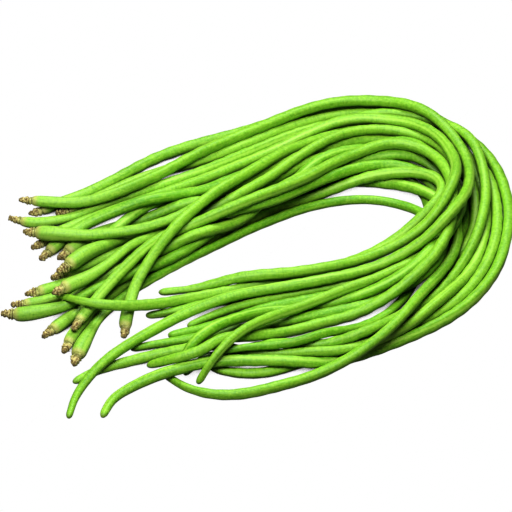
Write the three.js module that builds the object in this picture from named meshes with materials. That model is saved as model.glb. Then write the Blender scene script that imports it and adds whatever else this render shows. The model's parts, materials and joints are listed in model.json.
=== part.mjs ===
// A bunch of yardlong beans, bent over once into a U and laid down on a flat surface.
// Millimetres, +Z up. The stalk ends and the tips lie to the left, the bend to the right.
import * as THREE from "three";

// Driving dimensions of one bean.
const POD_RADIUS = 3.85;
const NECK_RADIUS = 5.2; // the swollen end beside the stalk
const TIP_RADIUS = 2.5; // just before the blunt tip
const SHOULDER_LENGTH = 11; // over which the pod rounds up from its stalk
const NECK_LENGTH = 42;
const TAPER_LENGTH = 60;
const STALK_LENGTH = 10;
const STALK_RADIUS = 3.3; // of the widest ring
const CLEARANCE = 0.3; // left between any two pieces that touch

// How finely a bean is drawn.
const LINK_LENGTH = 20; // between two points of a bean's centre line
const POD_SIDES = 7;
const STALK_SIDES = 6;

// How the heap is settled.
const SETTLING_PASSES = 420;
const PARTING_PASSES = 400;
const SINK_STEP = 0.14; // how far a bean falls in one pass
const HOLD = 0.08; // how strongly it keeps its place in the bunch
const STIFFNESS = 0.8;
const STALK_PULL = 0.5; // how strongly a stalk is brought into line with its pod
const THIN_START = 0.4; // the share of their thickness that the beans start with
const SWOLLEN_BY = 2 / 3; // the share of the settling passes after which they have all of it
const SEARCH_EVERY = 10; // passes between two searches for links that may touch
const LINKS_APART = 4; // two links of one bean this near each other are never parted
const TOLERANCE = 0.05; // beans nearer than they should be by less than this are left alone
const NEGLIGIBLE = 1e-6;

const POD_COLOURS = ["#6fae22", "#7cbc2c", "#63a01c", "#86c437", "#70b428"];
const STALK_COLOUR = "#9c8347";

// Each bean's route from its stalk to its tip: [x, y, height] of its centre line before the heap settles.
// girth scales its whole thickness, and neck and tip scale that of its ends.
const BEANS = [
  { girth: 0.98, neck: 0.74, tip: 1.0, route: [
    [-161, 49, 6], [-130, 39, 13], [-98, 46, 18], [-58, 69, 24], [-22, 90, 27], [10, 107, 29],
    [39, 121, 31], [64, 127, 32], [89, 126, 33], [107, 123, 33], [122, 115, 34], [134, 101, 34],
    [145, 85, 34], [153, 64, 34], [154, 43, 34], [148, 22, 34], [135, 0, 33], [107, -27, 31], [75, -44, 29],
    [32, -58, 27], [-12, -63, 25], [-44, -74, 22], [-69, -91, 19], [-102, -116, 14], [-124, -137, 8],
    [-134, -168, 4]] },
  { girth: 1.0, neck: 0.85, tip: 0.75, route: [
    [-154, 9, 5], [-140, 25, 7], [-120, 34, 12], [-84, 42, 16], [-40, 56, 20], [-4, 74, 24], [24, 91, 26],
    [50, 106, 27], [75, 111, 28], [104, 108, 29], [125, 97, 30], [140, 81, 30], [145, 58, 30],
    [141, 34, 30], [127, 8, 29], [104, -11, 27], [75, -26, 23], [39, -32, 18], [3, -35, 13], [-40, -41, 8],
    [-70, -44, 6]] },
  { girth: 1.0, neck: 0.75, tip: 1.3, route: [
    [-127, -71, 5], [-116, -52, 9], [-94, -25, 12], [-58, 9, 14], [-12, 36, 16], [32, 58, 19], [64, 79, 22],
    [86, 88, 24], [107, 88, 26], [127, 81, 26], [138, 66, 26], [140, 48, 25], [140, 25, 22], [133, -5, 21],
    [116, -38, 20], [86, -63, 17], [50, -80, 13], [4, -93, 11], [-37, -107, 9], [-79, -112, 4]] },
  { girth: 0.9, neck: 1.1, tip: 1.1, route: [
    [-137, -41, 6], [-116, -33, 9], [-91, -8, 12], [-48, 24, 16], [-4, 49, 20], [32, 79, 22], [57, 97, 24],
    [82, 103, 26], [107, 102, 26], [125, 93, 24], [138, 81, 20], [143, 62, 17], [139, 32, 17],
    [125, -5, 19], [100, -40, 21], [64, -57, 22], [32, -73, 21], [3, -83, 19], [-15, -94, 17],
    [-31, -113, 12], [-42, -133, 4]] },
  { girth: 0.98, neck: 0.95, tip: 1.0, route: [
    [-94, -78, 5], [-91, -46, 8], [-78, -18, 15], [-56, 10, 22], [-31, 40, 25], [3, 64, 25], [39, 92, 21],
    [68, 114, 16], [104, 127, 12], [132, 115, 9], [150, 85, 8], [156, 49, 8], [150, 8, 8], [132, -32, 7],
    [107, -68, 5], [78, -96, 4], [39, -115, 4], [4, -124, 4], [-17, -121, 4], [-32, -111, 4],
    [-40, -99, 4]] },
  { girth: 0.98, neck: 0.9, tip: 0.8, route: [
    [-132, -95, 5], [-125, -73, 6], [-114, -56, 8], [-91, -30, 9], [-62, -6, 10], [-19, 22, 11],
    [24, 44, 13], [60, 57, 16], [89, 65, 18], [109, 68, 19], [128, 67, 19], [140, 53, 19], [138, 37, 19],
    [124, 24, 18], [102, 5, 17], [82, -16, 16], [57, -30, 15], [3, -43, 14], [-40, -56, 15], [-76, -67, 18],
    [-105, -70, 22], [-127, -67, 21], [-143, -59, 17]] },
  { girth: 0.83, neck: 1.3, tip: 1.15, route: [
    [-129, -105, 4], [-124, -84, 4], [-111, -60, 4], [-89, -36, 4], [-40, -1, 4], [3, 27, 4], [39, 46, 4],
    [75, 53, 4], [104, 49, 4], [125, 38, 5], [135, 10, 6], [122, -30, 8], [93, -69, 9], [60, -90, 10],
    [32, -102, 11], [3, -105, 13], [-27, -103, 15]] },
  { girth: 1.02, neck: 0.8, tip: 1.1, route: [
    [-155, 40, 4], [-130, 50, 4], [-105, 70, 4], [-69, 99, 4], [-19, 117, 4], [32, 137, 5], [64, 143, 6],
    [96, 143, 6], [122, 138, 5], [140, 126, 5], [154, 115, 5], [164, 104, 4], [173, 88, 4], [178, 68, 4],
    [180, 47, 4], [180, 22, 4], [176, 1, 4], [161, -40, 4], [130, -70, 4], [95, -95, 5], [60, -106, 6],
    [17, -113, 8], [-19, -114, 8], [-44, -112, 5], [-76, -130, 4], [-99, -146, 4], [-109, -157, 4],
    [-110, -167, 4]] },
  { girth: 0.96, neck: 0.8, tip: 1.15, route: [
    [-135, 41, 4], [-116, 52, 5], [-84, 72, 8], [-37, 85, 12], [3, 103, 16], [39, 121, 18], [75, 133, 16],
    [111, 133, 11], [132, 123, 8], [145, 110, 6], [154, 93, 5], [159, 74, 5], [162, 53, 7], [164, 32, 8],
    [165, 8, 8], [158, -14, 7], [143, -40, 6], [107, -77, 7], [64, -104, 10], [17, -111, 11],
    [-33, -105, 9], [-76, -109, 5], [-105, -119, 4], [-131, -132, 4]] },
  { girth: 0.96, neck: 0.62, tip: 1.0, route: [
    [-168, 35, 4], [-159, 30, 4], [-143, 31, 4], [-105, 48, 4], [-76, 60, 6], [-33, 76, 13], [6, 93, 18],
    [46, 114, 16], [89, 131, 13], [122, 126, 12], [144, 108, 16], [156, 91, 17], [163, 69, 18],
    [166, 48, 19], [165, 28, 19], [157, 4, 17], [148, -17, 14], [133, -43, 10], [104, -68, 5], [53, -94, 4],
    [-12, -97, 4], [-37, -112, 4], [-52, -126, 4]] },
  { girth: 1.0, neck: 1.05, tip: 1.0, route: [
    [-158, 14, 9], [-138, 5, 14], [-105, 7, 15], [-69, 13, 16], [-40, 34, 17], [-4, 61, 16], [32, 82, 16],
    [64, 96, 18], [100, 104, 17], [130, 105, 8], [153, 100, 4], [164, 87, 4], [171, 67, 4], [173, 45, 4],
    [173, 20, 4], [170, -5, 4], [161, -28, 4], [138, -57, 4], [104, -80, 4], [60, -97, 4], [17, -98, 4]] },
  { girth: 0.98, neck: 0.95, tip: 1.6, route: [
    [-148, -2, 5], [-134, 16, 6], [-105, 32, 9], [-62, 48, 10], [-12, 65, 10], [32, 80, 12], [64, 92, 15],
    [89, 97, 18], [109, 96, 18], [127, 89, 16], [138, 76, 14], [142, 57, 12], [141, 33, 12], [135, 3, 13],
    [118, -22, 14], [93, -45, 14], [60, -54, 14], [32, -60, 15], [3, -69, 16], [-26, -87, 15],
    [-40, -97, 12], [-49, -107, 8], [-52, -117, 5]] },
  { girth: 0.98, neck: 1.1, tip: 1.0, route: [
    [-134, -3, 5], [-112, 13, 6], [-76, 34, 7], [-33, 49, 6], [6, 55, 4], [32, 59, 4], [53, 66, 4],
    [71, 72, 4], [89, 72, 4], [107, 68, 4], [125, 58, 4], [140, 43, 6], [146, 24, 9], [144, 4, 12],
    [138, -12, 13], [127, -33, 14], [114, -56, 14], [100, -78, 14], [78, -101, 11], [46, -118, 5],
    [3, -141, 4], [-24, -146, 4], [-44, -142, 4], [-56, -132, 4], [-66, -124, 4]] },
  { girth: 0.95, neck: 0.9, tip: 1.0, route: [
    [-127, 3, 7], [-105, 24, 7], [-69, 43, 8], [-26, 65, 5], [24, 94, 4], [60, 108, 4], [89, 114, 4],
    [111, 112, 4]] },
  { girth: 1.0, neck: 1.1, tip: 1.1, route: [
    [-135, -15, 5], [-118, 0, 6], [-84, 11, 8], [-40, 35, 5], [10, 63, 4], [53, 79, 4], [89, 83, 4],
    [118, 72, 4], [134, 47, 4], [131, 13, 5], [107, -16, 6], [60, -33, 8], [17, -44, 8], [-33, -55, 6],
    [-79, -65, 4]] },
  { girth: 0.98, neck: 0.95, tip: 1.1, route: [
    [-138, -23, 4], [-116, -14, 5], [-91, 0, 5], [-48, 27, 4], [3, 61, 4], [53, 88, 4], [89, 98, 4],
    [122, 87, 4], [141, 57, 4], [140, 19, 5], [111, -21, 7], [68, -40, 7], [21, -50, 9], [-19, -60, 8],
    [-48, -80, 4]] },
  { girth: 0.98, neck: 0.95, tip: 1.35, route: [
    [-156, -43, 4], [-134, -34, 4], [-105, -13, 4], [-69, 12, 4], [-26, 40, 6], [24, 73, 5], [68, 99, 4],
    [96, 105, 4], [127, 91, 5], [145, 58, 6], [142, 12, 8], [122, -20, 10], [82, -42, 9], [39, -52, 6],
    [-1, -61, 4], [-33, -77, 5], [-63, -85, 4]] },
  { girth: 0.98, neck: 0.72, tip: 1.1, route: [
    [-166, -50, 4], [-151, -52, 4], [-130, -43, 5], [-98, -14, 5], [-55, 10, 8], [-4, 45, 6], [46, 78, 4],
    [82, 90, 4], [117, 79, 4], [138, 52, 4], [139, 12, 8], [122, -24, 10], [93, -50, 9], [53, -66, 9],
    [10, -78, 8], [-37, -86, 5], [-90, -98, 4]] },
  { girth: 1.0, neck: 1.1, tip: 1.0, route: [
    [-173, -64, 4], [-152, -66, 4], [-130, -58, 9], [-98, -31, 10], [-55, 4, 5], [-4, 40, 4], [39, 73, 4],
    [68, 93, 4], [96, 101, 4], [118, 96, 4], [134, 82, 4], [140, 63, 4]] },
  { girth: 0.95, neck: 0.75, tip: 1.0, route: [
    [-138, -56, 6], [-116, -44, 10], [-84, -19, 11], [-40, 12, 10], [-4, 41, 8], [32, 70, 5],
    [60, 88, 5]] },
  { girth: 0.96, neck: 0.95, tip: 1.0, route: [
    [-146, -79, 4], [-127, -59, 5], [-102, -32, 5], [-62, -1, 4], [-30, 22, 4], [-8, 37, 4]] },
];

// The pod's radius at a distance from its stalk end, before the ends are rounded.
function bodyRadius(bean, distance, length) {
  const neck = THREE.MathUtils.smoothstep(distance, SHOULDER_LENGTH, NECK_LENGTH);
  const taper = THREE.MathUtils.smoothstep(distance, length - TAPER_LENGTH, length);
  const body = THREE.MathUtils.lerp(bean.neck * NECK_RADIUS, POD_RADIUS, neck);
  return bean.girth * THREE.MathUtils.lerp(body, bean.tip * TIP_RADIUS, taper);
}

// A stalk is thicker on a bean with a thick neck.
function stalkRadius(bean) {
  return STALK_RADIUS * Math.sqrt(bean.neck);
}

// Evenly spaced points along a bean's route, with one more in front for the end of its stalk.
function makeChain(bean) {
  const points = bean.route.map(([x, y, height]) => new THREE.Vector3(x, y, height));
  const curve = new THREE.CatmullRomCurve3(points, false, "centripetal");
  const length = curve.getLength();
  const links = Math.round(length / LINK_LENGTH);
  const line = curve.getSpacedPoints(links);
  const away = line[0].clone().sub(line[1]).setLength(STALK_LENGTH + CLEARANCE);
  const radii = line.map((node, i) => bodyRadius(bean, (length * i) / links, length));
  return {
    bean,
    nodes: [line[0].clone().add(away), ...line],
    radii: [stalkRadius(bean), ...radii],
    home: [line[0].clone().add(away), ...line.map((node) => node.clone())],
  };
}

// Where two straight links come closest: how far along each of them, from 0 to 1.
function closestApproach(a, b, c, d) {
  const u = b.clone().sub(a);
  const v = d.clone().sub(c);
  const w = a.clone().sub(c);
  const uu = u.dot(u);
  const uv = u.dot(v);
  const vv = v.dot(v);
  const spread = uu * vv - uv * uv;
  const clamp = (value) => THREE.MathUtils.clamp(value, 0, 1);
  let along = spread > NEGLIGIBLE ? clamp((uv * v.dot(w) - vv * u.dot(w)) / spread) : 0.5;
  const across = clamp((v.dot(w) + along * uv) / vv);
  along = clamp((across * uv - u.dot(w)) / uu);
  return [along, across];
}

// Every pair of links that is near enough to touch soon.
function nearbyLinks(chains) {
  const links = chains.flatMap((chain) => chain.nodes.slice(1).map((node, i) => ({
    chain, i, middle: chain.nodes[i].clone().add(node).multiplyScalar(0.5),
  })));
  const reach = LINK_LENGTH + 3 * NECK_RADIUS;
  const pairs = [];
  links.forEach((first, n) => {
    for (let m = n + 1; m < links.length; m += 1) {
      const second = links[m];
      if (first.chain === second.chain && second.i - first.i < LINKS_APART) continue;
      if (first.middle.distanceToSquared(second.middle) < reach * reach) pairs.push([first, second]);
    }
  });
  return pairs;
}

// Moves two links straight apart if they are closer than a share of their thickness, and says by how much.
function part(first, second, share) {
  const [a, b] = [first.chain.nodes[first.i], first.chain.nodes[first.i + 1]];
  const [c, d] = [second.chain.nodes[second.i], second.chain.nodes[second.i + 1]];
  const [along, across] = closestApproach(a, b, c, d);
  const radiusAt = (link, t) =>
    THREE.MathUtils.lerp(link.chain.radii[link.i], link.chain.radii[link.i + 1], t);
  const needed = share * (radiusAt(first, along) + radiusAt(second, across) + CLEARANCE);
  const between = a.clone().lerp(b, along).sub(c.clone().lerp(d, across));
  const lacking = needed - between.length();
  if (lacking <= 0) return 0;
  if (between.lengthSq() < NEGLIGIBLE) between.set(0, 0, 1);
  between.setLength(lacking);
  const weight = (1 - along) ** 2 + along ** 2 + (1 - across) ** 2 + across ** 2;
  a.addScaledVector(between, (1 - along) / weight);
  b.addScaledVector(between, along / weight);
  c.addScaledVector(between, -(1 - across) / weight);
  d.addScaledVector(between, -across / weight);
  return lacking;
}

// A bean that sinks slides down the slope of the heap by as much, so y + z is what it holds.
function holdPlace(chain) {
  chain.nodes.forEach((node, i) => {
    const home = chain.home[i];
    node.x += HOLD * (home.x - node.x);
    node.y += HOLD * (home.y + home.z - node.y - node.z);
  });
}

// Evens out the bends of a bean.
function stiffen(chain) {
  const { nodes } = chain;
  const before = nodes.map((node) => node.clone());
  const bendAt = (i) => before[i - 1].clone().add(before[i + 1]).addScaledVector(before[i], -2);
  for (let i = 2; i < nodes.length - 2; i += 1) {
    const uneven = bendAt(i - 1).add(bendAt(i + 1)).addScaledVector(bendAt(i), -2);
    nodes[i].addScaledVector(uneven, -STIFFNESS / 16);
  }
}

// Where the end of the stalk is when the stalk carries straight on from the pod.
function stalkEnd(chain) {
  const [, joint, next] = chain.nodes;
  return joint.clone().sub(next).setLength(STALK_LENGTH + CLEARANCE).add(joint);
}

// Brings a stalk and the start of its pod into one line.
function straightenStalk(chain) {
  const [end, joint, next] = chain.nodes;
  const off = stalkEnd(chain).sub(end);
  end.addScaledVector(off, STALK_PULL);
  joint.addScaledVector(off, -STALK_PULL / 2);
  next.addScaledVector(off, STALK_PULL / 2);
}

function keepOffFloor(chain) {
  chain.nodes.forEach((node, i) => {
    node.z = Math.max(node.z, chain.radii[i]);
  });
}

// Lets the heap sink until the beans rest on each other, then parts the last that still touch.
// The beans start thin and swell as they sink, so that each finds room beside its neighbours.
function settle(chains) {
  let pairs = [];
  for (let pass = 0; pass < SETTLING_PASSES; pass += 1) {
    const swelling = Math.min(1, pass / (SWOLLEN_BY * SETTLING_PASSES));
    const share = THREE.MathUtils.lerp(THIN_START, 1, swelling);
    if (pass % SEARCH_EVERY === 0) pairs = nearbyLinks(chains);
    chains.forEach((chain) => {
      chain.nodes.forEach((node) => {
        node.z -= SINK_STEP;
      });
      holdPlace(chain);
      stiffen(chain);
      straightenStalk(chain);
    });
    pairs.forEach(([first, second]) => part(first, second, share));
    chains.forEach(keepOffFloor);
  }
  for (let pass = 0; pass < PARTING_PASSES; pass += 1) {
    if (pass % SEARCH_EVERY === 0) pairs = nearbyLinks(chains);
    chains.forEach(straightenStalk);
    const closest = Math.max(...pairs.map(([first, second]) => part(first, second, 1)));
    chains.forEach(keepOffFloor);
    if (closest < TOLERANCE) break;
  }
}

// A turned shape whose axis is bent along a centre line, with its outline given as [distance, radius] pairs.
function bentLathe(outline, sides, nodes) {
  const profile = outline.map(([distance, radius]) => new THREE.Vector2(radius, distance));
  const geometry = new THREE.LatheGeometry(profile, sides);
  const frames = framesAlong(nodes);
  const position = geometry.getAttribute("position");
  const vertex = new THREE.Vector3();
  for (let i = 0; i < position.count; i += 1) {
    vertex.fromBufferAttribute(position, i);
    const { centre, side, tangent } = frameAt(frames, vertex.y);
    const up = side.clone().cross(tangent);
    const bent = centre.clone().addScaledVector(side, vertex.x).addScaledVector(up, vertex.z);
    position.setXYZ(i, bent.x, bent.y, bent.z);
  }
  geometry.computeVertexNormals();
  return geometry;
}

// At each point of a centre line: the distance along it, its direction, and a side that doesn't twist.
function framesAlong(nodes) {
  const directions = nodes.slice(1).map((node, i) => node.clone().sub(nodes[i]).normalize());
  const tangents = nodes.map((node, i) => {
    const before = directions[Math.max(i - 1, 0)];
    const after = directions[Math.min(i, directions.length - 1)];
    return before.clone().add(after).normalize();
  });
  let side = new THREE.Vector3(0, 0, 1);
  let distance = 0;
  return nodes.map((node, i) => {
    const tangent = tangents[i];
    side = side.clone().addScaledVector(tangent, -side.dot(tangent)).normalize();
    if (i > 0) distance += node.distanceTo(nodes[i - 1]);
    return { centre: node, tangent, side, distance };
  });
}

// The frame at a distance along a centre line. Between two points it stands square to their link.
function frameAt(frames, distance) {
  let i = frames.length - 2;
  while (i > 0 && frames[i].distance > distance) i -= 1;
  const [start, end] = [frames[i], frames[i + 1]];
  const t = (distance - start.distance) / (end.distance - start.distance);
  if (t < 1e-3) return start;
  if (t > 1 - 1e-3) return end;
  const tangent = end.centre.clone().sub(start.centre).normalize();
  const side = start.side.clone().addScaledVector(tangent, -start.side.dot(tangent)).normalize();
  return { centre: start.centre.clone().lerp(end.centre, t), tangent, side };
}

// The pod's outline: a rounded shoulder round the stalk, the neck, the long body and the blunt tip.
function podOutline(bean, line) {
  const distances = framesAlong(line).map((frame) => frame.distance);
  const length = distances.at(-1);
  const radius = (distance) => bodyRadius(bean, distance, length);
  const shoulder = [[0, 0], [0, 0.5], [0.12, 0.7], [0.45, 0.9], [1, 0.98]].map(([along, out]) =>
    [along * SHOULDER_LENGTH, out * radius(SHOULDER_LENGTH)]);
  const tip = [[10, 1], [4, 0.9], [1, 0.6], [0, 0]].map(([left, share]) =>
    [length - left, share * radius(length - left)]);
  const body = distances.slice(1, -1).map((distance) => [distance, radius(distance)]);
  return [...shoulder, ...body, ...tip];
}

// The stalk's outline from its broken end to the joint with the pod: a blunt point and two swollen rings.
function stalkOutline(bean) {
  const r = stalkRadius(bean);
  const end = STALK_LENGTH;
  return [[0, 0], [0, 0.45 * r], [0.25 * end, 0.6 * r], [0.4 * end, r], [0.6 * end, 0.8 * r],
    [0.8 * end, r], [end, 0.75 * r], [end, 0]];
}

function material(colour, roughness) {
  return new THREE.MeshStandardMaterial({ color: colour, roughness, metalness: 0 });
}

function makePod(chain, name, colour) {
  const line = chain.nodes.slice(1);
  const geometry = bentLathe(podOutline(chain.bean, line), POD_SIDES, line);
  const pod = new THREE.Mesh(geometry, material(colour, 0.45));
  pod.name = name;
  return pod;
}

function makeStalk(chain, name) {
  const geometry = bentLathe(stalkOutline(chain.bean), STALK_SIDES, [stalkEnd(chain), chain.nodes[1]]);
  const stalk = new THREE.Mesh(geometry, material(STALK_COLOUR, 0.8));
  stalk.name = name;
  return stalk;
}

function makeBunch() {
  const chains = BEANS.map(makeChain);
  settle(chains);
  const bunch = new THREE.Group();
  chains.forEach((chain, i) => {
    const name = `bean_${String(i + 1).padStart(2, "0")}`;
    const bean = new THREE.Group();
    bean.add(makePod(chain, `${name}_pod`, POD_COLOURS[i % POD_COLOURS.length]));
    bean.add(makeStalk(chain, `${name}_stalk`));
    bunch.add(bean);
  });
  return bunch;
}

// The origin is the middle of the bunch, on the surface that it lies on.
function centreOnFloor(bunch) {
  const box = new THREE.Box3().setFromObject(bunch, true);
  const middle = box.getCenter(new THREE.Vector3());
  bunch.position.set(-middle.x, -middle.y, -box.min.z);
  return bunch;
}

export default centreOnFloor(makeBunch());
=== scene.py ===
"""A bunch of yardlong beans, bent over into a U, on a plain white floor.

Each pod and stalk stub of the frame is replaced by a finely shaped one that follows the same centre line.
"""

import json
import math
import random

import bpy
import numpy as np
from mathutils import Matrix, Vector, kdtree, noise

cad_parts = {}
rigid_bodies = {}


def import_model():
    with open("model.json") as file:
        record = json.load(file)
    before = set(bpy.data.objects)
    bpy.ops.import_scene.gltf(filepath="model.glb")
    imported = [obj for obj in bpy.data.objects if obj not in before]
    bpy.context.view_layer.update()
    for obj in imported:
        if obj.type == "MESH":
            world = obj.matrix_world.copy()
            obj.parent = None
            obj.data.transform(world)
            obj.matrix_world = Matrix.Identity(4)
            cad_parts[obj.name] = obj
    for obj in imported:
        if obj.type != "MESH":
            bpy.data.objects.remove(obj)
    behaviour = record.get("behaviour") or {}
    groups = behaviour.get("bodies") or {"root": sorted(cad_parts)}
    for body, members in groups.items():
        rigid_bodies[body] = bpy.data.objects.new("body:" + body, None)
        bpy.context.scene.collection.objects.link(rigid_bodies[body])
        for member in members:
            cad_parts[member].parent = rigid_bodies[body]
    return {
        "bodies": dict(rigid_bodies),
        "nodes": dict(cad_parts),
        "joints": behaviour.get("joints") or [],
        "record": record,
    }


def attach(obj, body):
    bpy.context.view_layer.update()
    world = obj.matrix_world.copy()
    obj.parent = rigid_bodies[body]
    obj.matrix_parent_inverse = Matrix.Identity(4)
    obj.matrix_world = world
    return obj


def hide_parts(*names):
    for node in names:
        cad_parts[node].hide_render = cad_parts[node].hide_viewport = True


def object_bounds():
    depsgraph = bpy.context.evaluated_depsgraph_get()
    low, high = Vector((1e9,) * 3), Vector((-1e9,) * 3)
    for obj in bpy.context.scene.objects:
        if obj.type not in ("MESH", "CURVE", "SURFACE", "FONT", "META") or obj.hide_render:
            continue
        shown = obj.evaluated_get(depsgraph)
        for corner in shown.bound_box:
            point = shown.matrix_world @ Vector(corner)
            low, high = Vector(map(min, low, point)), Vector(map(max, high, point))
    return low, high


MM = 0.001

# The camera looks down on the bunch along +Y.
CAMERA_ELEVATION = math.radians(45)
CAMERA_LENS = 1500.0  # so long that near and far pods are drawn at the same scale
CAMERA_SENSOR = 36.0
CLIP_MARGIN = 20.0  # how far the camera sees past the spot that it aims at
VIEW_WIDTH = 0.3686
AIM = (-1.2 * MM, 5.9 * MM, 0)  # the spot of the floor it aims at, from the middle of the bunch

# The centre lines.
CORNERS_PER_METRE = 1e5  # corners that round to the same hundredth of a millimetre are one corner
JOINT_REACH = 1.4 * MM  # a pod's corners this near its stalk make up its first ring
THINNEST = 2.4 * MM
LEAST_SPACING = 8 * MM  # between two points of a line before it is smoothed
CURVE_STEPS = 8  # points of the smooth curve for each point of the line
FINE_STEP = 4 * MM
RING_STEP = 2.4 * MM

# How the smooth lines are eased apart.
RELAX_ROUNDS = 40
RELAX_SEARCH_EVERY = 8  # rounds between two searches for points that may touch
RELAX_REACH = 2.6  # how far a search looks, as a share of the largest radius
RELAX_TOUCH = 0.05 * MM
RELAX_PUSH = 0.3  # the share of a missing gap that each of two pods makes up for in one round
RELAX_HOLD = 0.03  # how strongly each point is drawn back to where it started
OWN_STEPS_APART = 8  # two points of one bean this few steps apart are never eased apart

# The pods.
SKIN_PLUMPNESS = 0.25 * MM  # how much fuller a pod is than its frame solid
POD_SIDES = 28
SEED_SPACING = 12.5 * MM
SEED_SWELL = 0.16 * MM
SEAM_DEPTH = 0.3 * MM
SEAM_WIDTH = 0.3  # radians
SEAM_FAINTNESS = 0.5  # the back seam's depth as a share of the front seam's
NECK_LENGTH = 30 * MM
SHOULDER_LENGTH = 6 * MM
TIP_LENGTH = 5.5 * MM  # over which the blunt tip rounds off
POLE_SIZE = 0.04  # radius of the last ring at the tip, as a share of the pod's
SLOW_UNEVENNESS = 0.06  # how much the thickness varies over about 7 cm, as a share of it
QUICK_UNEVENNESS = 0.04  # and over about 2 cm
FLATNESS = 0.03  # how far the three flats along a pod lie in, as a share of its radius
FOLD_DEPTH = 0.14 * MM  # of the small folds beside the stalk
FOLD_COUNT = 5
FOLD_LENGTH = 16 * MM
SWAY = 0.35 * MM  # of a pod's small uneven bends, sideways
LIFT = 0.25 * MM  # and up and down
TWIST_RATE = 5  # radians for each metre

# The painted shade between the pods: the skin's colour darkens where other pods close it in.
SKIN_SHADE_REACH = 25 * MM
SKIN_OPENNESS = (0.04, 0.45)  # where the skin begins to show its own colour, and where it shows all of it
SKIN_COLOUR_SHARE = (0.08, 1.0)  # how much of its own colour it has at those two

# The floor.
FLOOR_HALF_WIDTH = 6.0
FLOOR_GREY = 0.12  # how much of the light on it the floor sends back to the beans
FLOOR_SHADE_REACH = 30 * MM
# below these, the floor's white gives way to painted shade
FLOOR_OPENNESS = (0.03, 0.12)  # where it begins to lighten, and where it is white

# The stalk stubs.
STALK_SIDES = 20
STALK_RINGS = 44
STUB_END_RADIUS = 1.5 * MM
STUB_LEAST_RADIUS = 1.3 * MM
STUB_NECK_SHARE = 0.45  # how much of the neck's radius is added to that at the stub's foot
STUB_FOOT = 1.2 * MM  # how far the stub reaches into the pod
STUB_TAPER = 1.2
CREASE_DEPTH = 0.6 * MM
RING_SWELL = 0.7 * MM
LUMPINESS = 0.45
LUMP_SCALE = 1.3
RIDGES = 0.05
RIDGE_COUNT = 5

# The light. Places are in metres from the middle of the bunch.
WORLD_LIGHT = 0.07
KEY_PLACE = (0.1, 0.75, 1.1)
KEY_SIZE = (0.7, 0.4)
KEY_WATTS = 17.5
OVERHEAD_PLACE = (-0.2, -0.45, 1.3)
OVERHEAD_SIZE = (0.7, 0.5)
OVERHEAD_WATTS = 24
GAMMA = 0.82

TONE_SEED = 5


# ---------------------------------------------------------------- centre lines from the frame


def welded(node):
    """The node's corner points, each once, and which of them share an edge."""
    mesh = node.data
    index, points, own = {}, [], []
    for vertex in mesh.vertices:
        key = tuple(round(c * CORNERS_PER_METRE) for c in vertex.co)
        if key not in index:
            index[key] = len(points)
            points.append(np.array(vertex.co))
        own.append(index[key])
    neighbours = [set() for _ in points]
    for edge in mesh.edges:
        a, b = (own[v] for v in edge.vertices)
        if a != b:
            neighbours[a].add(b)
            neighbours[b].add(a)
    return np.array(points), neighbours


def rings_from_stalk(pod, stalk):
    """Middle and radius of each ring of a pod's solid, from the ring beside its stalk to its tip."""
    points, neighbours = welded(pod)
    stalk_points, _ = welded(stalk)
    gap = np.linalg.norm(points[:, None] - stalk_points[None], axis=2).min(axis=1)
    level = set(np.flatnonzero(gap < JOINT_REACH))
    seen = set(level)
    rings = []
    while level:
        ring = points[sorted(level)]
        middle = ring.mean(axis=0)
        rings.append((middle, np.linalg.norm(ring - middle, axis=1).max()))
        level = {n for v in level for n in neighbours[v]} - seen
        seen |= level
    return rings


def distances_along(line):
    """How far along the line each of its points lies."""
    return np.concatenate([[0], np.cumsum(np.linalg.norm(np.diff(line, axis=0), axis=1))])


def resample(line, step, *values):
    """The line, and any values along it, at even steps."""
    along = distances_along(line)
    count = max(2, round(along[-1] / step))
    places = np.linspace(0, along[-1], count + 1)
    even = np.stack([np.interp(places, along, line[:, k]) for k in range(3)], axis=1)
    return (even, *[np.interp(places, along, v) for v in values])


def rounded(line, radii):
    """The line as a smooth curve through its points, with the radius along it."""
    padded = np.vstack([2 * line[0] - line[1], line, 2 * line[-1] - line[-2]])
    curve, thickness = [], []
    for i in range(len(line) - 1):
        a, b, c, d = padded[i : i + 4]
        for t in np.linspace(0, 1, CURVE_STEPS, endpoint=False):
            square = (2 * a - 5 * b + 4 * c - d) * t**2
            cube = (3 * b - a - 3 * c + d) * t**3
            curve.append(0.5 * (2 * b + (c - a) * t + square + cube))
            thickness.append(radii[i] + (radii[i + 1] - radii[i]) * t)
    curve.append(line[-1])
    thickness.append(radii[-1])
    return np.array(curve), np.array(thickness)


def spread_out(line, radii):
    """Drops points that crowd together at the ends, so that the smooth curve doesn't kink there."""
    keep = [0]
    for i in range(1, len(line) - 1):
        to_last_kept = np.linalg.norm(line[i] - line[keep[-1]])
        to_end = np.linalg.norm(line[i] - line[-1])
        if min(to_last_kept, to_end) > LEAST_SPACING:
            keep.append(i)
    keep.append(len(line) - 1)
    return line[keep], radii[keep]


class Bean:
    """One bean of the bunch: its name, its centre line and its radius along it."""

    def __init__(self, name, frame):
        self.name = name
        self.number = int(name.split("_")[1])
        self.pod = frame["nodes"][f"{name}_pod"]
        self.stalk = frame["nodes"][f"{name}_stalk"]
        rings = rings_from_stalk(self.pod, self.stalk)
        line = np.array([middle for middle, _ in rings])
        radii = np.array([radius for _, radius in rings])
        self.body_radius = float(np.median(radii))
        line, radii = spread_out(line, np.maximum(radii, THINNEST))
        curve, thickness = rounded(line, radii)
        self.line, self.radii = resample(curve, FINE_STEP, thickness)
        self.length = distances_along(self.line)[-1]
        self.neck_radius = self.radii[: round(NECK_LENGTH / FINE_STEP)].max()
        self.stub_radius = STUB_NECK_SHARE * self.neck_radius + STUB_LEAST_RADIUS


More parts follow.
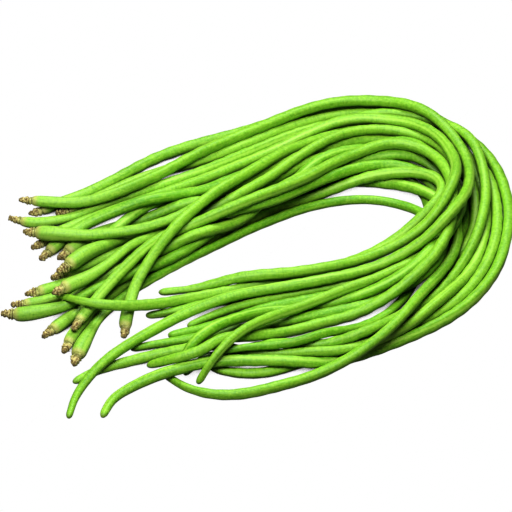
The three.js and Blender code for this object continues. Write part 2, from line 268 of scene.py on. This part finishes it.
def near_pairs(places, owner, order, reach):
    """Every two points that are near each other, apart from near points of one bean."""
    tree = kdtree.KDTree(len(places))
    for i, place in enumerate(places):
        tree.insert(place, i)
    tree.balance()
    pairs = []
    for i, place in enumerate(places):
        for _, j, _ in tree.find_range(place, reach):
            if j > i and (owner[i] != owner[j] or order[j] - order[i] > OWN_STEPS_APART):
                pairs.append((i, j))
    return np.array(pairs)


def relax(beans):
    """Eases the smooth centre lines apart wherever two pods would cut into each other."""
    places = np.vstack([bean.line for bean in beans])
    home = places.copy()
    radii = np.concatenate([bean.radii for bean in beans]) + SKIN_PLUMPNESS
    owner = np.concatenate([np.full(len(bean.line), k) for k, bean in enumerate(beans)])
    order = np.concatenate([np.arange(len(bean.line)) for bean in beans])
    inner = np.flatnonzero((owner[2:-2] == owner[:-4]) & (owner[2:-2] == owner[4:])) + 2
    for turn in range(RELAX_ROUNDS):
        if turn % RELAX_SEARCH_EVERY == 0:
            pairs = near_pairs(places, owner, order, RELAX_REACH * radii.max())
            first, second = pairs[:, 0], pairs[:, 1]
        bend = places[inner - 2] + places[inner + 2] - 4 * (places[inner - 1] + places[inner + 1])
        places[inner] -= (bend + 6 * places[inner]) / 16
        places += RELAX_HOLD * (home - places)
        away = places[first] - places[second]
        gap = np.linalg.norm(away, axis=1)
        lacking = np.maximum(radii[first] + radii[second] + RELAX_TOUCH - gap, 0)
        push = away * (RELAX_PUSH * lacking / np.maximum(gap, 1e-6))[:, None]
        np.add.at(places, first, push)
        np.add.at(places, second, -push)
        places[:, 2] = np.maximum(places[:, 2], radii)
    start = 0
    for bean in beans:
        bean.line = places[start : start + len(bean.line)]
        start += len(bean.line)


# ---------------------------------------------------------------- swept shapes


def frames_along(line):
    """Side and up at each point of a line, square to it and without twist."""
    tangents = np.gradient(line, axis=0)
    tangents /= np.linalg.norm(tangents, axis=1)[:, None]
    side = np.cross(tangents[0], (0, 0, 1))
    sides = []
    for tangent in tangents:
        side = side - tangent * side.dot(tangent)
        side = side / np.linalg.norm(side)
        sides.append(side)
    sides = np.array(sides)
    return sides, np.cross(sides, tangents)


def swept(name, line, radii, straight):
    """A closed tube round a line. radii has a row for each point and a column for each side.

    straight holds where each skin point would be if the piece were straight, for its materials.
    """
    rings, sides = radii.shape
    across, up = frames_along(line)
    angles = np.linspace(0, 2 * math.pi, sides, endpoint=False)
    cosines = np.cos(angles)[None, :, None]
    sines = np.sin(angles)[None, :, None]
    out = across[:, None] * cosines + up[:, None] * sines
    skin = (line[:, None] + out * radii[:, :, None]).reshape(-1, 3)
    skin[:, 2] = np.maximum(skin[:, 2], 0)
    points = np.vstack([skin, line[:1], line[-1:]])
    first_pole, last_pole = rings * sides, rings * sides + 1
    faces = []
    for i in range(rings - 1):
        for j in range(sides):
            k = (j + 1) % sides
            faces.append((i * sides + j, i * sides + k, (i + 1) * sides + k, (i + 1) * sides + j))
    last = (rings - 1) * sides
    for j in range(sides):
        k = (j + 1) % sides
        faces.append((first_pole, k, j))
        faces.append((last_pole, last + j, last + k))
    mesh = bpy.data.meshes.new(name)
    mesh.from_pydata(points.tolist(), [], faces)
    mesh.update()
    mesh.polygons.foreach_set("use_smooth", [True] * len(mesh.polygons))
    poles = [straight[0].mean(0), straight[-1].mean(0)]
    write_attribute(mesh, "straight", "FLOAT_VECTOR", np.vstack([straight.reshape(-1, 3), *poles]))
    piece = bpy.data.objects.new(name, mesh)
    bpy.context.scene.collection.objects.link(piece)
    return piece


def write_attribute(mesh, name, kind, values):
    """Stores a value for each point of a mesh, for its material to read."""
    layer = mesh.attributes.new(name, kind, "POINT")
    field = "vector" if kind == "FLOAT_VECTOR" else "value"
    layer.data.foreach_set(field, np.asarray(values, dtype=np.float32).ravel())


def straight_coordinates(along, radii, angles):
    """Where each skin point would be if the piece were straight and stood on its stalk end."""
    height = np.broadcast_to(along[:, None], radii.shape)
    return np.stack([radii * np.cos(angles), radii * np.sin(angles), height], axis=2)


# ---------------------------------------------------------------- pods


def wave(along, scale, seed):
    """Smooth noise along a bean, about -1 to 1."""
    return np.array([noise.noise(Vector((a / scale, 7.3 * seed, 1.9))) for a in along])


def smoothstep(low, high, value):
    """0 below low, 1 above high and an even rise between them."""
    t = np.clip((value - low) / (high - low), 0, 1)
    return t * t * (3 - 2 * t)


def shoulder(along, stub_radius, body_radius):
    """The radius near the stalk: the skin starts as wide as the stub and rounds out into the neck."""
    rise = np.clip(along / SHOULDER_LENGTH, 0, 1)
    return stub_radius + (body_radius - stub_radius) * np.sqrt(1 - (1 - rise) ** 2)


def pod_radius(bean, along):
    """The pod's radius along its length: the swollen neck, the uneven body and the blunt tip."""
    length = bean.length
    fullness = np.interp(along, distances_along(bean.line), bean.radii)
    fullness = np.where(along < NECK_LENGTH, np.maximum.accumulate(fullness[::-1])[::-1], fullness)
    body = fullness + SKIN_PLUMPNESS
    slow = SLOW_UNEVENNESS * wave(along, 70 * MM, bean.number)
    quick = QUICK_UNEVENNESS * wave(along, 20 * MM, bean.number + 40)
    body = body * (1 + slow + quick)
    radius = shoulder(along, bean.stub_radius, body)
    left = np.clip((length - along) / TIP_LENGTH, 0, 1)
    blunt = np.sqrt(1 - (1 - left) ** 2)
    return radius * np.maximum(blunt, POLE_SIZE)


def skin_relief(bean, along, angles):
    """How far the skin stands out or in: seeds, the two seams, flats and folds by the stalk."""
    middle = smoothstep(30 * MM, 90 * MM, along) * smoothstep(0, 40 * MM, bean.length - along)
    spacing = SEED_SPACING * (1 + 0.1 * math.sin(bean.number))
    phase = 2 * math.pi * (along / spacing + 0.35 * wave(along, 60 * MM, bean.number + 80))
    swell = SEED_SWELL * middle * np.cos(phase) * (1 + 0.7 * wave(along, 45 * MM, bean.number + 20))
    flats = FLATNESS * bean.body_radius * np.cos(3 * angles + bean.number)
    relief = swell[:, None] * np.abs(np.sin(angles)) - SEAM_DEPTH * seam_line(angles) + flats
    near_stalk = 1 - smoothstep(0, FOLD_LENGTH, along)
    folds = FOLD_DEPTH * np.cos(FOLD_COUNT * angles + bean.number) * near_stalk[:, None]
    ends = np.minimum(along, bean.length - along)
    return (relief + folds) * smoothstep(0, 5 * MM, ends)[:, None]


def seam_line(angles):
    """1 on the middle of a pod's two seams, which run along opposite sides, and 0 away from them."""
    front = np.exp(-((np.sin(angles / 2) / (SEAM_WIDTH / 2)) ** 2))
    back = np.exp(-((np.cos(angles / 2) / (SEAM_WIDTH / 2)) ** 2))
    return front + SEAM_FAINTNESS * back


def wander(line, seed):
    """Small uneven bends, as a grown pod has."""
    along = distances_along(line)
    fade = smoothstep(0, 20 * MM, along)[:, None]
    across, up = frames_along(line)
    sway = SWAY * wave(along, 38 * MM, seed + 200)[:, None]
    lift = LIFT * wave(along, 31 * MM, seed + 300)[:, None]
    return line + fade * (across * sway + up * lift)


def ring_places(length):
    """Distances of a pod's rings: even along the body and close together at the rounded ends."""
    ends = np.array([0, 0.3, 0.8, 1.5, 2.5, 3.8, 5.4, 7.2, 9.3]) * MM
    body = np.linspace(11.5 * MM, length - 8.5 * MM, round((length - 20 * MM) / RING_STEP))
    tip = length - np.array([6.5, 5, 3.8, 2.8, 2, 1.3, 0.8, 0.4, 0.12, 0]) * MM
    return np.concatenate([ends, body, tip])


def make_pod(bean, material):
    """The skin that stands for a bean's pod."""
    along = ring_places(bean.length)
    known = distances_along(bean.line)
    line = np.stack([np.interp(along, known, bean.line[:, k]) for k in range(3)], axis=1)
    line = wander(even_out(line), bean.number)
    angles = np.linspace(0, 2 * math.pi, POD_SIDES, endpoint=False)
    twist = bean.number * 1.7 + TWIST_RATE * along + 0.8 * wave(along, 150 * MM, bean.number + 60)
    turned = angles[None, :] + twist[:, None]
    radii = pod_radius(bean, along)[:, None] + skin_relief(bean, along, turned)
    pod = swept(f"{bean.name}_skin", line, radii, straight_coordinates(along, radii, turned))
    mesh = pod.data
    for name, values in (("from_stalk", along), ("to_tip", bean.length - along)):
        write_attribute(mesh, name, "FLOAT", np.repeat(values, POD_SIDES).tolist() + [values[0], values[-1]])
    write_attribute(mesh, "seam", "FLOAT", seam_line(turned).ravel().tolist() + [0, 0])
    write_attribute(mesh, "tone", "FLOAT", [bean.tone] * len(mesh.vertices))
    mesh.materials.append(material)
    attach(pod, "root")
    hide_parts(bean.pod.name)


def even_out(line):
    """Takes the last small corners out of a line."""
    for _ in range(3):
        line[1:-1] += 0.25 * (line[:-2] + line[2:] - 2 * line[1:-1])
    return line


# ---------------------------------------------------------------- stalk stubs


def stalk_line(bean):
    """The stub's centre line, from its joint with the pod to its broken end, slightly bent."""
    points, _ = welded(bean.stalk)
    joint = bean.line[0]
    outward = bean.line[0] - bean.line[1]
    outward /= np.linalg.norm(outward)
    length = max((points - joint) @ outward)
    along = np.linspace(-STUB_FOOT, length, STALK_RINGS)
    side = np.cross(outward, (0, 0, 1))
    rng = random.Random(bean.number)
    lean = rng.uniform(-0.14, 0.14)
    droop = rng.uniform(-0.05, 0.12)
    reach = np.maximum(along, 0)[:, None] ** 2 / length
    line = joint + outward * along[:, None] + side * lean * reach + np.array((0, 0, droop)) * reach
    return line, along, length


def stalk_outline(along, length, base, rng):
    """Radius along the stub and how deep each place lies in a crease: a blunt cone of swollen rings."""
    t = np.clip(along / length, 0, 1)
    radius = base + (STUB_END_RADIUS - base) * t**STUB_TAPER
    creases = [0.08 + rng.uniform(-0.03, 0.03)]
    while creases[-1] < 0.8:
        creases.append(creases[-1] + rng.uniform(0.16, 0.34))
    crease = sum(rng.uniform(0.5, 1) * np.exp(-(((t - place) / 0.045) ** 2)) for place in creases)
    swell = sum(rng.uniform(0, 1) * np.exp(-(((t - place - 0.1) / 0.08) ** 2)) for place in creases)
    radius = radius + RING_SWELL * swell - CREASE_DEPTH * np.clip(crease, 0, 1)
    close = np.clip((1 - t) / 0.1, 0, 1)
    return radius * np.maximum(np.sqrt(1 - (1 - close) ** 2), 0.05), np.clip(crease, 0, 1)


def lump(angle, along, seed):
    """Smooth noise over a stub's skin, about -1 to 1."""
    across = (LUMP_SCALE * math.cos(angle), LUMP_SCALE * math.sin(angle))
    return noise.noise(Vector((*across, 260 * along + 9 * seed)))


def make_stalk(bean, material):
    """The knobbly stub that stands for a bean's stalk."""
    line, along, length = stalk_line(bean)
    rng = random.Random(100 + bean.number)
    outline, crease = stalk_outline(along, length, bean.stub_radius, rng)
    angles = np.linspace(0, 2 * math.pi, STALK_SIDES, endpoint=False)
    lumps = np.array([[lump(a, s, bean.number) for a in angles] for s in along])
    ridges = RIDGES * np.cos(RIDGE_COUNT * angles)[None, :]
    radii = outline[:, None] * (1 + LUMPINESS * lumps + ridges)
    stalk = swept(f"{bean.name}_stub", line, radii, straight_coordinates(along, radii, angles[None, :]))
    mesh = stalk.data
    deep = np.repeat(crease, STALK_SIDES).tolist() + [crease[0], crease[-1]]
    end = np.clip(along / length, 0, 1)
    # the crease depth, which the stalk material also uses to darken the grooves: partly their own brown,
    # partly painted shade
    write_attribute(mesh, "crease", "FLOAT", deep)
    write_attribute(mesh, "toward_end", "FLOAT", np.repeat(end, STALK_SIDES).tolist() + [0, 1])
    mesh.materials.append(material)
    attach(stalk, "root")
    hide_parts(bean.stalk.name)


# ---------------------------------------------------------------- materials


class Nodes:
    """Short ways to add and join a material's nodes."""

    def __init__(self, name):
        self.material = bpy.data.materials.new(name)
        self.material.use_nodes = True
        self.tree = self.material.node_tree
        self.shader = self.tree.nodes["Principled BSDF"]

    def add(self, kind, **settings):
        node = self.tree.nodes.new(kind)
        for key, value in settings.items():
            setattr(node, key, value)
        return node

    def join(self, source, target):
        self.tree.links.new(source, target)

    def attribute(self, name, output="Fac"):
        return self.add("ShaderNodeAttribute", attribute_name=name).outputs[output]

    def stretched(self, vector, scale):
        mapping = self.add("ShaderNodeMapping")
        mapping.inputs["Scale"].default_value = scale
        self.join(vector, mapping.inputs["Vector"])
        return mapping.outputs["Vector"]

    def noise(self, vector, scale, detail=3.0, roughness=0.5):
        texture = self.add("ShaderNodeTexNoise")
        texture.inputs["Scale"].default_value = scale
        texture.inputs["Detail"].default_value = detail
        texture.inputs["Roughness"].default_value = roughness
        self.join(vector, texture.inputs["Vector"])
        return texture.outputs["Fac"]

    def remap(self, value, low, high, to_low=0.0, to_high=1.0):
        node = self.add("ShaderNodeMapRange", interpolation_type="SMOOTHSTEP")
        sockets = ("From Min", "From Max", "To Min", "To Max")
        for socket, number in zip(sockets, (low, high, to_low, to_high)):
            node.inputs[socket].default_value = number
        self.join(value, node.inputs["Value"])
        return node.outputs["Result"]

    def math(self, operation, a, b):
        node = self.add("ShaderNodeMath", operation=operation)
        for socket, value in zip(node.inputs, (a, b)):
            if isinstance(value, (int, float)):
                socket.default_value = value
            else:
                self.join(value, socket)
        return node.outputs[0]

    def mix(self, factor, a, b):
        """Blends colour a into colour b. Each is a colour or another node's output."""
        node = self.add("ShaderNodeMix", data_type="RGBA")
        for socket, value in zip((node.inputs[0], node.inputs[6], node.inputs[7]), (factor, a, b)):
            if isinstance(value, bpy.types.NodeSocket):
                self.join(value, socket)
            elif isinstance(value, (int, float)):
                socket.default_value = value
            else:
                socket.default_value = (*value, 1)
        return node.outputs[2]

    def bump(self, height, strength, distance, normal=None):
        node = self.add("ShaderNodeBump")
        node.inputs["Strength"].default_value = strength
        node.inputs["Distance"].default_value = distance
        self.join(height, node.inputs["Height"])
        if normal is not None:
            self.join(normal, node.inputs["Normal"])
        return node.outputs["Normal"]


def pod_material():
    """Smooth waxy green skin: lengthwise streaks, soft mottling, pale seams that are partly painted
    highlight, a pale neck, a darker nib and painted shade deep between the pods.
    """
    m = Nodes("pod_skin")
    straight = m.attribute("straight", "Vector")
    streaks = m.noise(m.stretched(straight, (1, 1, 0.05)), 600, 3, 0.6)
    grain = m.noise(m.stretched(straight, (1, 1, 0.7)), 620, 4, 0.65)
    wrinkles = m.noise(m.stretched(straight, (0.35, 0.35, 1.5)), 520, 3, 0.55)
    patches = m.noise(m.stretched(straight, (1, 1, 0.5)), 40, 3)
    dark, mid, light = (0.055, 0.24, 0.002), (0.16, 0.43, 0.01), (0.32, 0.57, 0.055)
    colour = m.mix(m.remap(patches, 0.3, 0.65, 0.3, 1), dark, mid)
    colour = m.mix(m.math("MULTIPLY", m.attribute("tone"), 0.45), colour, light)
    neck = m.remap(m.attribute("from_stalk"), 6 * MM, 80 * MM, 0.6, 0)
    colour = m.mix(neck, colour, (0.27, 0.50, 0.07))
    colour = m.mix(m.remap(grain, 0.45, 0.7, 0, 0.6), colour, light)
    colour = m.mix(m.remap(grain, 0.48, 0.3, 0, 0.4), colour, dark)
    colour = m.mix(m.remap(wrinkles, 0.5, 0.3, 0, 0.35), colour, dark)
    colour = m.mix(m.remap(streaks, 0.5, 0.7, 0, 0.45), colour, light)
    # pale line along the two seams: partly the seams' own colour, partly painted highlight
    colour = m.mix(m.remap(m.attribute("seam"), 0.3, 0.9, 0, 0.45), colour, (0.42, 0.68, 0.10))
    joint = m.remap(m.attribute("from_stalk"), 0.5 * MM, 5 * MM, 0.85, 0)
    colour = m.mix(joint, colour, (0.44, 0.44, 0.13))
    nib = m.remap(m.attribute("to_tip"), 0.6 * MM, 3.5 * MM, 0.35, 0)
    colour = m.mix(nib, colour, (0.10, 0.075, 0.03))
    # painted shade: the skin fades to near-black green where other pods close it in
    colour = m.mix(deep_shade(m), (0.003, 0.03, 0.0), colour)
    m.join(colour, m.shader.inputs["Base Color"])
    m.join(m.remap(grain, 0.3, 0.7, 0.42, 0.58), m.shader.inputs["Roughness"])
    m.shader.inputs["Specular IOR Level"].default_value = 0.35
    m.shader.inputs["Subsurface Weight"].default_value = 0.05
    m.shader.inputs["Subsurface Radius"].default_value = (0.5, 1.0, 0.15)
    m.shader.inputs["Subsurface Scale"].default_value = 0.0025
    fine = m.bump(streaks, 0.6, 0.25 * MM)
    cross = m.bump(wrinkles, 0.5, 0.25 * MM, fine)
    m.join(m.bump(grain, 0.5, 0.25 * MM, cross), m.shader.inputs["Normal"])
    return m.material


def deep_shade(m):
    """Painted shade: the share of its own colour that the skin shows, from ambient occlusion: little deep
    between the pods, all of it outside.
    """
    openness = m.add("ShaderNodeAmbientOcclusion", samples=8)
    openness.inputs["Distance"].default_value = SKIN_SHADE_REACH
    return m.remap(openness.outputs["AO"], *SKIN_OPENNESS, *SKIN_COLOUR_SHARE)


def stalk_material():
    """Dry straw-coloured stub with grooves darkened partly by their own brown and partly by painted shade, a
    dark broken end and rough skin.
    """
    m = Nodes("dry_stalk")
    straight = m.attribute("straight", "Vector")
    fibres = m.noise(m.stretched(straight, (1, 1, 0.3)), 900, 4, 0.6)
    blotches = m.noise(straight, 420, 3)
    colour = m.mix(m.remap(blotches, 0.42, 0.58), (0.52, 0.45, 0.16), (0.15, 0.10, 0.025))
    colour = m.mix(m.remap(fibres, 0.46, 0.68, 0, 0.65), colour, (0.70, 0.66, 0.34))
    green = m.remap(m.attribute("toward_end"), 0.0, 0.45, 0.6, 0)
    colour = m.mix(green, colour, (0.36, 0.46, 0.12))
    # the grooves: partly their own dark brown, partly painted shade
    colour = m.mix(m.remap(m.attribute("crease"), 0.25, 0.9, 0, 0.85), colour, (0.05, 0.03, 0.01))
    end = m.remap(m.attribute("toward_end"), 0.8, 0.98, 0, 0.75)
    colour = m.mix(end, colour, (0.08, 0.05, 0.02))
    m.join(colour, m.shader.inputs["Base Color"])
    m.shader.inputs["Roughness"].default_value = 0.78
    m.shader.inputs["Specular IOR Level"].default_value = 0.25
    height = m.math("ADD", fibres, m.math("MULTIPLY", blotches, 1.5))
    m.join(m.bump(height, 0.7, 0.25 * MM), m.shader.inputs["Normal"])
    return m.material


def floor_material():
    """Seen, it is plain white, with painted shade where beans close it in. As a source of light it is a dull
    grey.
    """
    m = Nodes("white_floor")
    seen = m.add("ShaderNodeLightPath").outputs["Is Camera Ray"]
    openness = m.add("ShaderNodeAmbientOcclusion", samples=16)
    openness.inputs["Distance"].default_value = FLOOR_SHADE_REACH
    # painted shade: the floor's glow fades to dark where beans close it in
    white = m.remap(openness.outputs["AO"], *FLOOR_OPENNESS)
    m.join(m.mix(seen, (FLOOR_GREY, FLOOR_GREY, FLOOR_GREY), (0, 0, 0)), m.shader.inputs["Base Color"])
    m.shader.inputs["Roughness"].default_value = 0.9
    m.shader.inputs["Specular IOR Level"].default_value = 0.0
    m.shader.inputs["Emission Color"].default_value = (1, 1, 1, 1)
    m.join(m.math("MULTIPLY", seen, white), m.shader.inputs["Emission Strength"])
    return m.material


# ---------------------------------------------------------------- floor, light and camera


def make_floor():
    mesh = bpy.data.meshes.new("floor")
    half = FLOOR_HALF_WIDTH
    corners = [(-half, -half, 0), (half, -half, 0), (half, half, 0), (-half, half, 0)]
    mesh.from_pydata(corners, [], [(0, 1, 2, 3)])
    floor = bpy.data.objects.new("floor", mesh)
    bpy.context.scene.collection.objects.link(floor)
    mesh.materials.append(floor_material())


def softbox(name, place, size, watts):
    """A soft rectangular light that faces the middle of the bunch."""
    light = bpy.data.lights.new(name, "AREA")
    light.shape = "RECTANGLE"
    light.size, light.size_y = size
    light.energy = watts
    lamp = bpy.data.objects.new(name, light)
    lamp.location = place
    lamp.rotation_euler = (-Vector(place)).to_track_quat("-Z", "Y").to_euler()
    bpy.context.scene.collection.objects.link(lamp)


def make_lights():
    world = bpy.data.worlds.new("studio")
    world.use_nodes = True
    background = world.node_tree.nodes["Background"]
    background.inputs["Color"].default_value = (1, 1, 1, 1)
    background.inputs["Strength"].default_value = WORLD_LIGHT
    bpy.context.scene.world = world
    softbox("key", KEY_PLACE, KEY_SIZE, KEY_WATTS)
    softbox("overhead", OVERHEAD_PLACE, OVERHEAD_SIZE, OVERHEAD_WATTS)


def make_camera(middle):
    """A long lens on a spot of the floor just behind the middle of the bunch."""
    camera = bpy.data.cameras.new("camera")
    camera.lens = CAMERA_LENS
    camera.sensor_width = CAMERA_SENSOR
    distance = VIEW_WIDTH * CAMERA_LENS / CAMERA_SENSOR
    aim = Vector((middle.x, middle.y, 0)) + Vector(AIM)
    back = Vector((0, -math.cos(CAMERA_ELEVATION), math.sin(CAMERA_ELEVATION)))
    eye = bpy.data.objects.new("camera", camera)
    eye.location = aim + back * distance
    eye.rotation_euler = (-back).to_track_quat("-Z", "Y").to_euler()
    camera.clip_end = distance + CLIP_MARGIN
    bpy.context.scene.collection.objects.link(eye)
    bpy.context.scene.camera = eye


# ---------------------------------------------------------------- the scene


def make_beans(frame):
    names = sorted({name.rsplit("_", 1)[0] for name in frame["nodes"]})
    beans = [Bean(name, frame) for name in names]
    rng = random.Random(TONE_SEED)
    for bean in beans:
        bean.tone = rng.uniform(0, 1)
    relax(beans)
    skin = pod_material()
    straw = stalk_material()
    for bean in beans:
        make_pod(bean, skin)
        make_stalk(bean, straw)


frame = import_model()
cad_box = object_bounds()
low, high = cad_box
make_camera((Vector(low) + Vector(high)) / 2)
make_floor()
make_lights()
make_beans(frame)
bpy.context.scene.view_settings.view_transform = "Standard"
bpy.context.scene.view_settings.gamma = GAMMA
